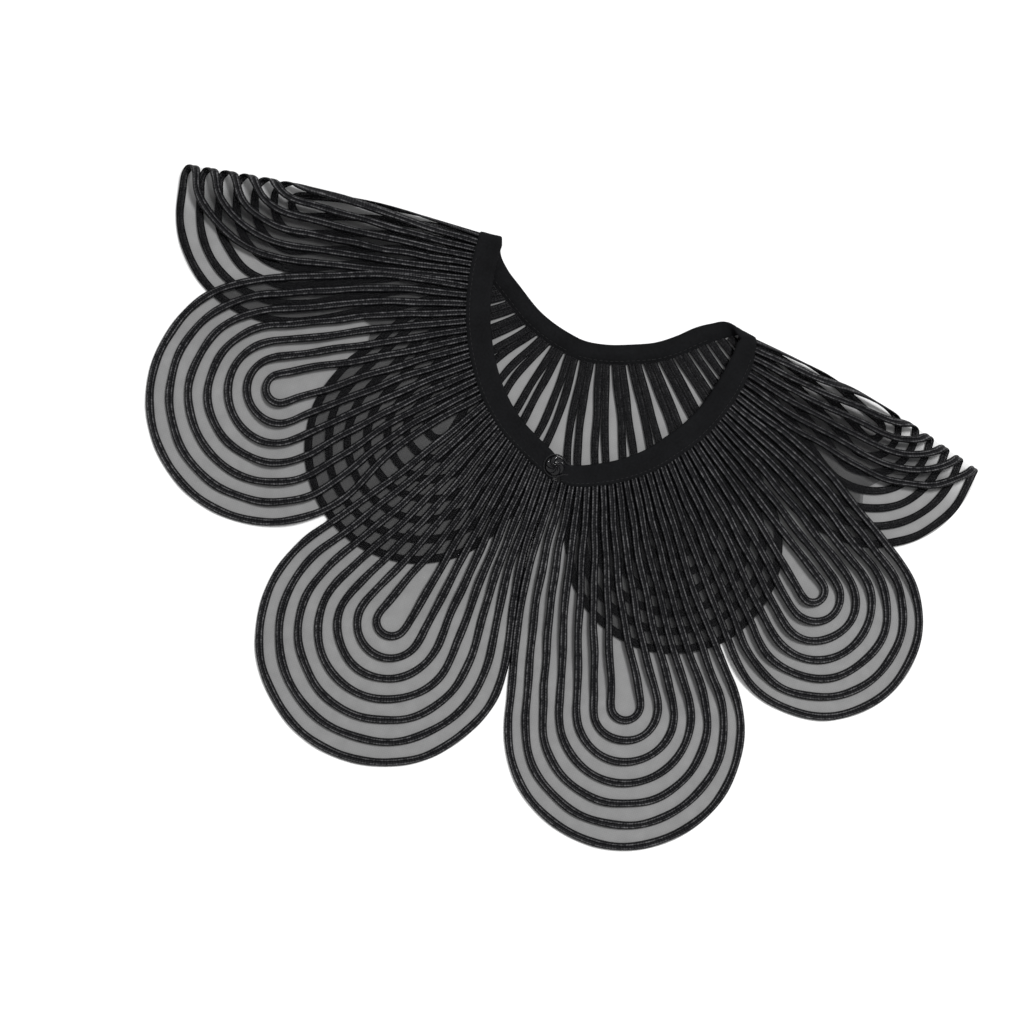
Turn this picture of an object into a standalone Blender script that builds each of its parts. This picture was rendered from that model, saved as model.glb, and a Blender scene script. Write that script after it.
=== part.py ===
# Black organza false collar with sewn braid, buttoned at the front and laid flat, front up.
# The ring of cloth is doubled at both shoulders, so the back petals lie under the front ones.
# The collar's own frame: x to the right shoulder as seen, y towards the centre back, z up.
import math
import bpy
import bmesh
import numpy as np

# Sizes in millimetres; each mesh is turned into metres as it is made
MM = 0.001
CLOTH = 1.6            # wall of one cloth layer
LAYER_GAP = 0.4        # air between the back layer and the front layer
SEAM_GAP = 0.3         # air between the ground and the neckband
LOOPS = 7              # loops of braid on each petal
BRAID_WIDTH = 3.6
BRAID_RISE = 1.2
EDGE_ALLOWANCE = 0.3   # cloth outside the outermost braid
BAND_WIDTH = 9.8
BACK_BAND = 0.79       # share of that width seen on the back half, which lies turned over
BAND_EXTRA = 0.6       # how much thicker the neckband is than one layer
BUTTON_RADIUS = 4.5
BUTTON_HEIGHT = 3.8
BUTTON_AT = (2.6, -88.3)
LOOP_THREAD = 1.2      # diameter of the button loop
DROP_START = 14.0      # the front layer stays up this far past the back layer
DROP_RUN = 20.0        # and comes down to the surface over this length
CORNER_LOFT = 2.6      # extra height of the soft turn at the right shoulder
CORNER_REACH = 32.0
FOLD_LIFT = 4.5        # the front layer rises this much more along a shoulder fold
LIFT_REACH = 20.0      # and comes down over this distance into the collar
LIFT_START = 12.0      # beginning this far from the neck
LIFT_RUN = 40.0
PINCH_AT = 3.0         # where the neckband is seen narrowest, on the back side of the fold
PINCH_REACH = 7.0
CURVE_ROOM = 0.45      # keeps that gap where both edges are straight steps round a curve
RING_ROOM = 0.05       # the same for the button and its loop
CORNER_GAP = 0.5       # extra air between ground and neckband right at a shoulder corner
CORNER_GAP_REACH = 7.0
SQUARE_OFF = 10.0      # length over which the neckband's front ends turn square to the closing
CENTRE_BACK = 0.46     # share of the back seam line where the two halves of the band meet
BACK_WAIST = 22.0      # half width of a back petal at the neck
CORE_BLEND = 3.0       # the middle line of a petal ends this far before the innermost turn
BAND_ENDS = (0.975, 0.03)   # shares of the front seam lines where the two band ends are
LOOP_FEET = ((11.4, -85.9), (11.8, -89.6))   # where the button loop leaves the neckband
LOOP_OPEN = 40         # half the angle in degrees that the loop leaves open towards its feet
LOOP_LEAN = 4          # degrees by which that opening is turned from the x axis
LOOP_RISE = 0.15       # how far it lies above the button's foot, clear of the braid ends

# The raised braid: a flat crown between sloping sides, as shares of its half width
CROWN = 0.62
ROOT_RISE = 0.6        # its height where it runs into the neckband, as a share
CROWDED = 0.40         # widest half width as a share of the room to the next loop
BESIDE_NOTCH = 0.85    # and as a share of the room to the line shared by two petals

ARM_CELLS = 4          # mesh steps along each arm of a loop, from the neck to the notch
TIP_CELLS = 14         # mesh steps round the free end of a loop
STEPS = 2 * ARM_CELLS + TIP_CELLS
TIP_POINTS = 11        # guiding points round the end of a loop
LEAD = 6.0             # one more guiding point this far before and after them
CURVE_CELLS = 16       # fine steps between two guiding points
FOLD_CUTS = (-1.0, -0.5, 0.0, 0.5, 1.0)   # mesh lines across a fold, as shares of its half width
BAND_CELLS = 20        # mesh steps of a neckband half on each side of its fold
TURN_CELLS = 9         # mesh steps where the neckband turns over
BAND_LOOK = 0.03       # the neckband's direction is read over this share of its length
# Every petal row is the edge, four a rib, and the middle line; these go on in the plain inside
PLAIN_ROWS = (0, 3, 11, 19, 27, 29)

# Seam lines between the ground and the neckband (x, y), each from its first to its last end
SEAMS = {
    "front_left": [(-68, 0), (-65, -21), (-60, -38), (-52, -54), (-40, -70),
                   (-27, -81), (-12, -88.5), (3.0, -94.3)],
    "front_right": [(4.6, -94.9), (15, -93), (26, -88), (37, -81), (46, -73), (54, -62.5),
                    (60, -53), (66, -38), (69, -23), (69, -8), (67, 0)],
    "back": [(-68, 0), (-62, -12.5), (-55, -19), (-47, -24), (-32, -32.5), (-16, -37),
             (-5, -38), (6, -36), (19, -31), (30, -25.5), (39, -18.3), (46, -11.2),
             (53, -5.6), (60, -1.8), (67, 0)],
}

# Shoulder folds: the corner at the neck, the far end, how far the fold bows out, half the
# width of cloth that turns over, how much narrower the eased front half lies than it is cut,
# and the share by which the neckband is seen narrower at the corner
FOLDS = {
    "left": dict(corner=(-68, 0), end=(-205, -19.5), bow=3.0, half=4.0, ease=0.92, pinch=0.0),
    "right": dict(corner=(67, 0), end=(185.5, -19.5), bow=3.6, half=4.4, ease=0.83, pinch=0.28),
}

# Petals in ring order. Spans are (seam, from, to) as shares of a seam line. Middles are the
# points that the two outer arms pass. A folded petal's points are (along, across) its fold.
PETALS = {
    "B": dict(layer="front", spans=[("front_left", 1.0, 0.62)],
              middles=((5.2, -146), (-61, -121)),
              tip=(-41.8, -190.7), tip_radius=56.6, core=(-41.2, -182.7), core_radius=6.9),
    "C": dict(layer="front", spans=[("front_left", 0.62, 0.19)],
              middles=((-66, -108), (-100, -34)),
              tip=(-129.8, -108.3), tip_radius=56.2, core=(-127.3, -101.7), core_radius=6.9),
    "E": dict(fold="left", spans=[("front_left", 0.19, 0.0), ("back", 0.0, 0.17)],
              middles=((51, 34.4), (24, -41)),
              tip=(86.2, -12.5), tip_radius=52.4, core=(82.4, -9.8), core_radius=4.6),
    "G": dict(layer="back", spans=[("back", 0.17, 0.486)],
              middles=((-86, -49), (-5.3, -62)),
              tip=(-58.5, -103.5), tip_radius=51.0, core=(-53.5, -90), core_radius=6.0),
    "H": dict(layer="back", spans=[("back", 0.486, 0.80)],
              middles=((5.6, -77), (79, -47)),
              tip=(66.8, -102.4), tip_radius=48.3, core=(62, -95), core_radius=6.0),
    "F": dict(fold="right", spans=[("back", 0.80, 1.0), ("front_right", 1.0, 0.79)],
              middles=((25, -43), (37, 36)),
              tip=(69, -13.4), tip_radius=50.1, core=(67.6, -12.2), core_radius=4.6),
    "D": dict(layer="front", spans=[("front_right", 0.79, 0.395)],
              middles=((112, -42), (75, -100)),
              tip=(144, -110.4), tip_radius=44.8, core=(134, -99), core_radius=5.5),
    "A": dict(layer="front", spans=[("front_right", 0.395, 0.0)],
              middles=((93, -130), (11.6, -146)),
              tip=(76.8, -189.5), tip_radius=53.6, core=(73, -179), core_radius=6.9),
}

# How far neighbouring petals stay joined, measured along their outer arms from the neck
JOINS = {
    ("B", "C"): 88, ("C", "E"): 84, ("E", "G"): 62, ("G", "H"): 58,
    ("H", "F"): 66, ("F", "D"): 74, ("D", "A"): 84,
}
OPEN_RUN = 70          # the same length on the two petals beside the front opening


def smooth_path(points, count):
    """A rounded line through the points, cut into equal steps."""
    p = np.asarray(points, float)
    ends = np.vstack([2 * p[0] - p[1], p, 2 * p[-1] - p[-2]])
    knots = np.concatenate([[0], np.cumsum(np.linalg.norm(np.diff(ends, axis=0), axis=1))])
    slope = np.gradient(ends, knots, axis=0)
    t = (np.arange(CURVE_CELLS) / CURVE_CELLS)[:, None]
    fine = []
    for i in range(1, len(ends) - 2):
        gap = knots[i + 1] - knots[i]
        fine.append((1 + 2 * t) * (1 - t) ** 2 * ends[i] + t * (1 - t) ** 2 * gap * slope[i]
                    + t * t * (3 - 2 * t) * ends[i + 1] + t * t * (t - 1) * gap * slope[i + 1])
    return steps_along(np.vstack(fine + [p[-1:]]), np.linspace(0, 1, count))


def steps_along(path, shares):
    """Points at the given shares of a path's length."""
    run = np.concatenate([[0], np.cumsum(np.linalg.norm(np.diff(path, axis=0), axis=1))])
    want = np.asarray(shares) * run[-1]
    return np.stack([np.interp(want, run, path[:, 0]), np.interp(want, run, path[:, 1])], -1)


def length_of(path):
    return float(np.linalg.norm(np.diff(path, axis=0), axis=1).sum())


SEAM_PATHS = {name: smooth_path(points, 240) for name, points in SEAMS.items()}


def on_seam(name, share):
    return steps_along(SEAM_PATHS[name], [share])[0]


def fold_axes(name):
    """Corner, direction along the fold and direction into the collar."""
    fold = FOLDS[name]
    corner = np.array(fold["corner"], float)
    along = np.array(fold["end"], float) - corner
    length = np.hypot(*along)
    along = along / length
    across = np.array([-along[1], along[0]])
    if across[1] > 0:
        across = -across
    return corner, along, across, length


def bow_of(name, a):
    share = np.clip(a / fold_axes(name)[3], 0, 1)
    return FOLDS[name]["bow"] * np.sin(math.pi * share)


def unfolded(name, plan, side):
    """A laid point of the front (side 1) or back (side -1) as (along, across) the fold."""
    corner, along, across, _ = fold_axes(name)
    d = np.asarray(plan, float) - corner
    a = d @ along
    n = d @ across + bow_of(name, a)
    return np.stack([a, n / FOLDS[name]["ease"] if side > 0 else -n], -1)


def laid(name, flat):
    """The laid place of a point given along and across the fold."""
    corner, along, across, _ = fold_axes(name)
    flat = np.asarray(flat, float)
    a = flat[..., 0]
    n = flat[..., 1]
    n = np.where(n > 0, n * FOLDS[name]["ease"], -n) - bow_of(name, a)
    return corner + a[..., None] * along + n[..., None] * across


def root_point(petal, share):
    """A point on the neck edge of a petal, in the petal's own flat coordinates."""
    spans = petal["spans"]
    index = min(int(share * len(spans)), len(spans) - 1)
    seam, start, end = spans[index]
    plan = on_seam(seam, start + (end - start) * (share * len(spans) - index))
    if "fold" not in petal:
        return plan
    side = -1 if seam == "back" else 1
    return unfolded(petal["fold"], plan, side)


def tangent_point(point, centre, radius, side):
    d = centre - point
    reach = np.hypot(*d)
    angle = side * math.asin(min(0.98, radius / reach))
    u = d / reach
    turned = np.array([u[0] * math.cos(angle) - u[1] * math.sin(angle),
                       u[0] * math.sin(angle) + u[1] * math.cos(angle)])
    return point + math.sqrt(max(reach ** 2 - radius ** 2, 1.0)) * turned


def loop_path(petal, k):
    """The middle line of loop k, from one neck end round the tip to the other."""
    inward = k / (LOOPS - 1)
    width = (LOOPS - 0.5 - k) / (LOOPS - 0.5)
    root_width = (LOOPS - 0.5 - k) / LOOPS
    centre = np.array(petal["tip"]) * (1 - inward) + np.array(petal["core"]) * inward
    radius = petal["tip_radius"] * (1 - inward) + petal["core_radius"] * inward
    first, last = (np.array(m, float) for m in petal["middles"])
    middle = (first + last) / 2
    roots = [root_point(petal, 0.5 - 0.5 * root_width), root_point(petal, 0.5 + 0.5 * root_width)]
    arms = [middle + (first - middle) * width, middle + (last - middle) * width]
    axis = centre - middle
    touch = []
    for arm in arms:
        off = arm - middle
        side = 1 if axis[0] * off[1] - axis[1] * off[0] > 0 else -1
        touch.append(tangent_point(arm, centre, radius, side))
    angles = [math.atan2(*(t - centre)[::-1]) for t in touch]
    tip = math.atan2(axis[1], axis[0])
    swing = [(a - tip + math.pi) % (2 * math.pi) - math.pi for a in angles]
    arc = [centre + radius * np.array([math.cos(tip + s), math.sin(tip + s)])
           for s in np.linspace(*swing, TIP_POINTS)]
    leads = [t + (arm - t) * min(0.5, LEAD / np.hypot(*(arm - t))) for t, arm in zip(touch, arms)]
    return smooth_path([roots[0], arms[0], leads[0]] + arc + [leads[1], arms[1], roots[1]], 200)


ORDER = list(PETALS)


def run_between(one, other):
    return JOINS.get((one, other), OPEN_RUN)


def loop_stations(name):
    """The loops of one petal as matching stations, outermost first."""
    petal = PETALS[name]
    index = ORDER.index(name)
    before = run_between(ORDER[index - 1], name) if index else OPEN_RUN
    after = run_between(name, ORDER[index + 1]) if index + 1 < len(ORDER) else OPEN_RUN
    paths = [loop_path(petal, k) for k in range(LOOPS)]
    total = length_of(paths[0])
    first, last = before / total, 1 - after / total
    shares = np.concatenate([np.linspace(0, first, ARM_CELLS + 1)[:-1],
                             np.linspace(first, last, TIP_CELLS + 1)[:-1],
                             np.linspace(last, 1, ARM_CELLS + 1)])
    return np.array([steps_along(path, shares) for path in paths])


STATIONS = {name: loop_stations(name) for name in ORDER}


def plan_points(name, flat):
    petal = PETALS[name]
    return laid(petal["fold"], flat) if "fold" in petal else np.asarray(flat, float)


def side_of(name, first):
    """Which layer the first or last arm of a petal is in: 1 front, -1 back."""
    petal = PETALS[name]
    seam = petal["spans"][0 if first else -1][0]
    return -1 if seam == "back" else 1


def border(one, other):
    """The shared line from the neck to the notch between two petals, as laid."""
    here = plan_points(one, STATIONS[one][0][::-1][:ARM_CELLS + 1])
    there = plan_points(other, STATIONS[other][0][:ARM_CELLS + 1])
    return (here + there) / 2


def cross_steps(loops, k):
    """Unit steps across loop k towards the petal's middle, and the room to its neighbour."""
    if k == 0:
        step = loops[1] - loops[0]
    elif k == LOOPS - 1:
        step = loops[k] - loops[k - 1]
    else:
        step = (loops[k + 1] - loops[k - 1]) / 2
    room = np.linalg.norm(step, axis=1)
    unit = step / room[:, None]
    way = np.gradient(loops[k], axis=0)
    way /= np.linalg.norm(way, axis=1)[:, None]
    slant = np.abs(unit[:, 0] * way[:, 1] - unit[:, 1] * way[:, 0])
    return unit, room, np.clip(slant, 0.5, 1.0)


def petal_rows(name):
    """Rows of the petal from its edge to its middle line: outer rows with ribs, inner rows."""
    petal = PETALS[name]
    loops = STATIONS[name]
    index = ORDER.index(name)
    ribbed = petal.get("layer") != "back"
    half = []
    units = []
    for k in range(LOOPS):
        unit, room, slant = cross_steps(loops, k)
        half.append(np.minimum(BRAID_WIDTH / 2, CROWDED * room * slant) / slant)
        units.append(unit)
    edge = loops[0] - units[0] * (half[0] + EDGE_ALLOWANCE)[:, None]
    joined = np.zeros(STEPS + 1, bool)
    if index > 0:
        line = border(ORDER[index - 1], name)
        joined[:ARM_CELLS + 1] = True
        if "fold" in petal:
            line = unfolded(petal["fold"], line, side_of(name, True))
        edge[:ARM_CELLS + 1] = line
    if index + 1 < len(ORDER):
        line = border(name, ORDER[index + 1])[::-1]
        joined[-ARM_CELLS - 1:] = True
        if "fold" in petal:
            line = unfolded(petal["fold"], line, side_of(name, False))
        edge[-ARM_CELLS - 1:] = line
    # the outermost rib keeps clear of the shared line
    room = np.linalg.norm(loops[0] - edge, axis=1)
    outer_half = np.where(joined, np.minimum(half[0], BESIDE_NOTCH * room), half[0])
    last = loops[-1] + units[-1] * half[-1][:, None]
    core = np.array(petal["core"], float)
    axis = core - (np.array(petal["middles"][0]) + np.array(petal["middles"][1])) / 2
    spine = (last + last[::-1]) / 2
    spine[(spine - core) @ axis > -CORE_BLEND * np.hypot(*axis)] = core
    flat_rows = [(edge, 0.0)]
    for k in range(LOOPS):
        outer = outer_half if k == 0 else half[k]
        for share, rise in ((-1.0, 0.0), (-CROWN, 1.0), (CROWN, 1.0), (1.0, 0.0)):
            width = outer if share < 0 else half[k]
            flat_rows.append((loops[k] + units[k] * (share * width)[:, None], rise))
    flat_rows.append((spine, 0.0))
    inner = [(flat_rows[i][0], 0.0) for i in PLAIN_ROWS]
    outer_rows = flat_rows if ribbed else inner
    links = PLAIN_ROWS if ribbed else range(len(PLAIN_ROWS))
    return outer_rows, inner, links, joined


def back_reach(p):
    """How far a laid point is outside the back layer's petals."""
    best = 1e9
    for name in ("E", "G", "H", "F"):
        petal = PETALS[name]
        loops = plan_points(name, STATIONS[name][0])
        if "fold" in petal:
            tip = laid(petal["fold"], petal["tip"])
        else:
            tip = np.array(petal["tip"])
        root = (loops[0] + loops[-1]) / 2
        for t in np.linspace(0, 1, 9):
            centre = root + (tip - root) * t
            radius = BACK_WAIST + (petal["tip_radius"] - BACK_WAIST) * t
            best = min(best, np.hypot(*(p - centre)) - radius)
    return best


def front_base(p):
    """Height of the front layer's underside at a laid point."""
    t = np.clip((back_reach(p) - DROP_START) / DROP_RUN, 0, 1)
    settle = 1 - t * t * (3 - 2 * t)
    loft = CORNER_LOFT * math.exp(-(np.hypot(*(p - SEAM_PATHS["back"][-1])) / CORNER_REACH) ** 2)
    return (CLOTH + LAYER_GAP + loft + fold_lift(p)) * settle


def fold_lift(p):
    """How much higher the front layer is beside the shoulder folds."""
    lift = 0.0
    for name in FOLDS:
        corner, along, across, _ = fold_axes(name)
        a = (p - corner) @ along
        n = (p - corner) @ across + bow_of(name, a)
        t = np.clip((a - LIFT_START) / LIFT_RUN, 0, 1)
        lift += FOLD_LIFT * t * t * (3 - 2 * t) * math.exp(-(n / LIFT_REACH) ** 2)
    return lift


def placed_flat(layer, x, y, h):
    if layer == "back":
        return (x, y, CLOTH - h)
    return (x, y, front_base(np.array([x, y])) + h)


def placed_folded(name, a, n, h):
    """Turns cloth over at a shoulder fold: front where n is positive, back where negative."""
    half = FOLDS[name]["half"]
    if n <= -half:
        plan = laid(name, np.array([a, n]))
        return (plan[0], plan[1], CLOTH - h)
    front = half / FOLDS[name]["ease"]
    plan = laid(name, np.array([a, max(n, front)]))
    top = front_base(plan)
    if n >= front:
        return (plan[0], plan[1], top + h)
    n = n * half / front if n > 0 else n
    across = fold_axes(name)[2]
    angle = 0.5 * math.pi * n / half
    middle = (top + CLOTH) / 2
    inner = (top - CLOTH) / 2
    shift = (half + h - CLOTH) * math.cos(angle)
    spot = plan - across * shift
    return (spot[0], spot[1], middle + (inner + h) * math.sin(angle))


def petal_mesh(name):
    """One petal of the ground as an open piece of the ring, cut along its fold lines."""
    petal = PETALS[name]
    outer_rows, inner_rows, links, joined = petal_rows(name)
    bm = bmesh.new()

    def verts(rows, wall):
        made = []
        for points, rise in rows:
            line = []
            for j, p in enumerate(points):
                lift = rise * BRAID_RISE * (ROOT_RISE if j in (0, STEPS) else 1.0)
                h = wall + lift if wall else 0.0
                line.append(bm.verts.new((p[0], p[1], h)))
            made.append(line)
        return made

    outer = verts(outer_rows, CLOTH)
    inner = verts(inner_rows, 0.0)
    for rows in (outer, inner):
        for one, two in zip(rows, rows[1:]):
            for j in range(STEPS):
                bm.faces.new((one[j], one[j + 1], two[j + 1], two[j]))
    for j in range(STEPS):
        if not (joined[j] and joined[j + 1]):
            bm.faces.new((outer[0][j], outer[0][j + 1], inner[0][j + 1], inner[0][j]))
    for j in (0, STEPS):
        for i in range(len(links) - 1):
            top = [outer[r][j] for r in range(links[i], links[i + 1] + 1)]
            bm.faces.new(top + [inner[i + 1][j], inner[i][j]])
    bmesh.ops.remove_doubles(bm, verts=bm.verts, dist=1e-4)
    if "fold" in petal:
        half = FOLDS[petal["fold"]]["half"]
        for share in FOLD_CUTS:
            geom = bm.verts[:] + bm.edges[:] + bm.faces[:]
            at = half * share / (FOLDS[petal["fold"]]["ease"] if share > 0 else 1)
            bmesh.ops.bisect_plane(bm, geom=geom, dist=1e-4, plane_co=(0, at, 0),
                                   plane_no=(0, 1, 0))
    for v in bm.verts:
        x, y, h = v.co
        if "fold" in petal:
            # the braid is on the outside only where the cloth faces up
            half = FOLDS[petal["fold"]]["half"]
            if h > CLOTH:
                h = CLOTH + (h - CLOTH) * min(1.0, max(0.0, 1 + 2 * y / half))
            v.co = placed_folded(petal["fold"], x, y, h)
        else:
            v.co = placed_flat(petal["layer"], x, y, h)
    mesh = bpy.data.meshes.new(name)
    bm.to_mesh(mesh)
    bm.free()
    return mesh


def make_object(name, bm, colour, roughness, smooth_angle=None):
    bmesh.ops.recalc_face_normals(bm, faces=bm.faces)
    bmesh.ops.triangulate(bm, faces=bm.faces)
    for v in bm.verts:
        v.co *= MM
    mesh = bpy.data.meshes.new(name)
    bm.to_mesh(mesh)
    bm.free()
    material = bpy.data.materials.new(name)
    material.use_nodes = True
    shader = material.node_tree.nodes["Principled BSDF"]
    shader.inputs["Base Color"].default_value = (*colour, 1)
    shader.inputs["Roughness"].default_value = roughness
    shader.inputs["Metallic"].default_value = 0.0
    mesh.materials.append(material)
    if smooth_angle:
        mesh.shade_smooth()
        mesh.set_sharp_from_angle(angle=math.radians(smooth_angle))
    item = bpy.data.objects.new(name, mesh)
    bpy.context.scene.collection.objects.link(item)
    return item


def build_ground():
    """The whole organza ring as one closed body."""
    bm = bmesh.new()
    for name in ORDER:
        mesh = petal_mesh(name)
        bm.from_mesh(mesh)
        bpy.data.meshes.remove(mesh)
    bmesh.ops.remove_doubles(bm, verts=bm.verts, dist=0.02)
    return make_object("organza_ground", bm, (0.03, 0.03, 0.035), 0.7)


def band_stations(fold, flat):
    """Seam stations for one half of the neckband, closer together where it turns over."""
    run = np.concatenate([[0], np.cumsum(np.linalg.norm(np.diff(flat, axis=0), axis=1))])
    half = FOLDS[fold]["half"]
    order = np.argsort(flat[:, 1])
    turn = [np.interp(share * half, flat[order, 1], run[order])
            for share in np.linspace(-1, 1, TURN_CELLS)]
    ahead = np.linspace(0, min(turn), BAND_CELLS)[:-1]
    behind = np.linspace(max(turn), run[-1], BAND_CELLS)[1:]
    return np.concatenate([ahead, sorted(turn), behind]) / run[-1]


def build_neckband():
    """The bias strip, one piece from the left front end round the back to the right end."""
    section = [(SEAM_GAP, 0.0), (SEAM_GAP, 0.75), (SEAM_GAP + 0.5, 1.0),
               (BAND_WIDTH - 0.4, 1.0), (BAND_WIDTH + SEAM_GAP, 0.6),
               (BAND_WIDTH + SEAM_GAP, 0.25), (BAND_WIDTH - 0.4, 0.0)]
    halves = [("left", "front_left", BAND_ENDS[0], 0.0, 0.0, CENTRE_BACK, 1),
              ("right", "front_right", BAND_ENDS[1], 1.0, 1.0, CENTRE_BACK, -1)]
    bm = bmesh.new()
    rings = []
    for fold, front, f0, f1, b0, b1, turn in halves:
        shares = np.linspace(0, 1, 160)
        ahead = unfolded(fold, steps_along(SEAM_PATHS[front], f0 + (f1 - f0) * shares), 1)
        behind = unfolded(fold, steps_along(SEAM_PATHS["back"], b0 + (b1 - b0) * shares), -1)
        path = np.vstack([ahead, behind[1:]])
        marks = band_stations(fold, path)
        points = steps_along(path, marks)
        way = steps_along(path, np.clip(marks + BAND_LOOK, 0, 1))
        way -= steps_along(path, np.clip(marks - BAND_LOOK, 0, 1))
        way /= np.linalg.norm(way, axis=1)[:, None]
        inward = np.stack([-way[:, 1], way[:, 0]], -1)
        if (inward[len(inward) // 2] @ np.array([1.0, 0.0])) > 0:
            inward = -inward
        made = []
        _, along, across, _ = fold_axes(fold)
        end_way = np.array([along[1], across[1]])
        length = length_of(path)
        for p, side, mark in zip(points, inward, marks):
            ring = []
            square = max(0.0, 1 - mark * length / SQUARE_OFF)
            side = side * (1 - square) + end_way * square
            gap = SEAM_GAP + CURVE_ROOM + CORNER_GAP * math.exp(-(p[1] / CORNER_GAP_REACH) ** 2)
            half = FOLDS[fold]["half"]
            behind_fold = min(1.0, max(0.0, (half - p[1]) / (2 * half)))
            pinch = FOLDS[fold]["pinch"] * math.exp(-((p[1] + PINCH_AT) / PINCH_REACH) ** 2)
            seen = (1 - pinch) * (1 - (1 - BACK_BAND) * behind_fold)
            for reach, level in section:
                spot = p + side * (gap + (reach - SEAM_GAP) * seen)
                front_share = min(1.0, max(0.0, spot[1] / half))
                thick = CLOTH + BAND_EXTRA * front_share
                ring.append(placed_folded(fold, spot[0], spot[1], thick * level))
            made.append(ring)
        rings.append(made if turn > 0 else made[::-1])
    left, right = rings
    joint = [tuple((np.array(a) + np.array(b)) / 2) for a, b in zip(left[-1], right[0])]
    chain = left[:-1] + [joint] + right[1:]
    made = [[bm.verts.new(p) for p in ring] for ring in chain]
    count = len(section)
    for one, two in zip(made, made[1:]):
        for i in range(count):
            bm.faces.new((one[i], one[(i + 1) % count], two[(i + 1) % count], two[i]))
    bm.faces.new(made[0])
    bm.faces.new(made[-1][::-1])
    return make_object("neckband", bm, (0.02, 0.02, 0.025), 0.85, 40)


def button_floor():
    return front_base(np.array(BUTTON_AT)) + CLOTH + BAND_EXTRA + SEAM_GAP


def build_button():
    """The domed button, flat under, resting just clear of the neckband."""
    profile = [(0.80, 0.0), (0.96, 0.10), (1.0, 0.26), (0.95, 0.46), (0.82, 0.68),
               (0.58, 0.87), (0.30, 0.97)]
    sides = 28
    bm = bmesh.new()
    base = button_floor()
    rings = []
    for share, level in profile:
        ring = []
        for i in range(sides):
            angle = 2 * math.pi * i / sides
            ring.append(bm.verts.new((BUTTON_AT[0] + BUTTON_RADIUS * share * math.cos(angle),
                                      BUTTON_AT[1] + BUTTON_RADIUS * share * math.sin(angle),
                                      base + BUTTON_HEIGHT * level)))
        rings.append(ring)
    for one, two in zip(rings, rings[1:]):
        for i in range(sides):
            bm.faces.new((one[i], one[(i + 1) % sides], two[(i + 1) % sides], two[i]))
    top = bm.verts.new((*BUTTON_AT, base + BUTTON_HEIGHT))
    for i in range(sides):
        bm.faces.new((rings[-1][i], rings[-1][(i + 1) % sides], top))
    bm.faces.new(rings[0][::-1])
    return make_object("button", bm, (0.01, 0.01, 0.01), 0.12, 50)


def build_button_loop():
    """The thread loop, from the left end of the neckband round the button and back."""
    radius = LOOP_THREAD / 2
    ring_radius = BUTTON_RADIUS + SEAM_GAP + RING_ROOM + radius
    level = button_floor() + LOOP_RISE + radius
    path = [LOOP_FEET[0]]
    for angle in np.radians(np.linspace(LOOP_OPEN, 360 - LOOP_OPEN, 22) + LOOP_LEAN):
        path.append((BUTTON_AT[0] + ring_radius * math.cos(angle),
                     BUTTON_AT[1] + ring_radius * math.sin(angle)))
    path = smooth_path(path + [LOOP_FEET[1]], 40)
    way = np.gradient(path, axis=0)
    way /= np.linalg.norm(way, axis=1)[:, None]
    bm = bmesh.new()
    sides = 8
    rings = []
    for p, w in zip(path, way):
        ring = []
        for i in range(sides):
            angle = 2 * math.pi * i / sides
            side = radius * math.cos(angle)
            ring.append(bm.verts.new((p[0] - w[1] * side, p[1] + w[0] * side,
                                      level + radius * math.sin(angle))))
        rings.append(ring)
    for one, two in zip(rings, rings[1:]):
        for i in range(sides):
            bm.faces.new((one[i], one[(i + 1) % sides], two[(i + 1) % sides], two[i]))
    bm.faces.new(rings[0][::-1])
    bm.faces.new(rings[-1])
    return make_object("button_loop", bm, (0.015, 0.015, 0.018), 0.6, 50)


for item in list(bpy.data.objects):
    bpy.data.objects.remove(item, do_unlink=True)

parts = [build_ground(), build_neckband(), build_button(), build_button_loop()]

# The origin sits at the middle of the underside of the whole collar
corners = np.array([v.co[:] for item in parts for v in item.data.vertices])
low, high = corners.min(axis=0), corners.max(axis=0)
shift = np.array([(low[0] + high[0]) / 2, (low[1] + high[1]) / 2, low[2]])
for item in parts:
    for v in item.data.vertices:
        v.co = np.array(v.co[:]) - shift
    item.data.update()
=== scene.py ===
# Black organza false collar with sewn flat braid, buttoned and laid flat on a pale floor.
# Layout is in millimetres in the collar's own frame and becomes metres as each mesh is made.
import math
import bpy
import bmesh
import numpy as np
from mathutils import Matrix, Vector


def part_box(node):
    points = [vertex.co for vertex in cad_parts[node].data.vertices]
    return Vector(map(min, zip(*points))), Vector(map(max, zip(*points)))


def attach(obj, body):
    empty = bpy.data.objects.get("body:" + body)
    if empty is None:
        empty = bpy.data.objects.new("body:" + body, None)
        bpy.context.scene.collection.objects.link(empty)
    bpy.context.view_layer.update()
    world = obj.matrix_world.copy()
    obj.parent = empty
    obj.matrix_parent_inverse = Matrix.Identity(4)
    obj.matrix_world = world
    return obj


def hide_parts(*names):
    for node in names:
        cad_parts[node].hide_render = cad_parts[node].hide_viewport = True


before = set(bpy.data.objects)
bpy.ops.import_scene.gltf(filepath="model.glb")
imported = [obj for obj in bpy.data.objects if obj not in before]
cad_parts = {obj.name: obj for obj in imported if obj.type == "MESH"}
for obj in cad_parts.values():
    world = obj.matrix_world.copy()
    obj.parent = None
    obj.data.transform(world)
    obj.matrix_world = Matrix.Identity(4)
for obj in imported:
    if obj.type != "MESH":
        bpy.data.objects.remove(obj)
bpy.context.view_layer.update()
bpy.ops.object.select_all(action="DESELECT")
random = np.random.default_rng(7)
print("frame loaded")


# What each piece is made from

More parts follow.
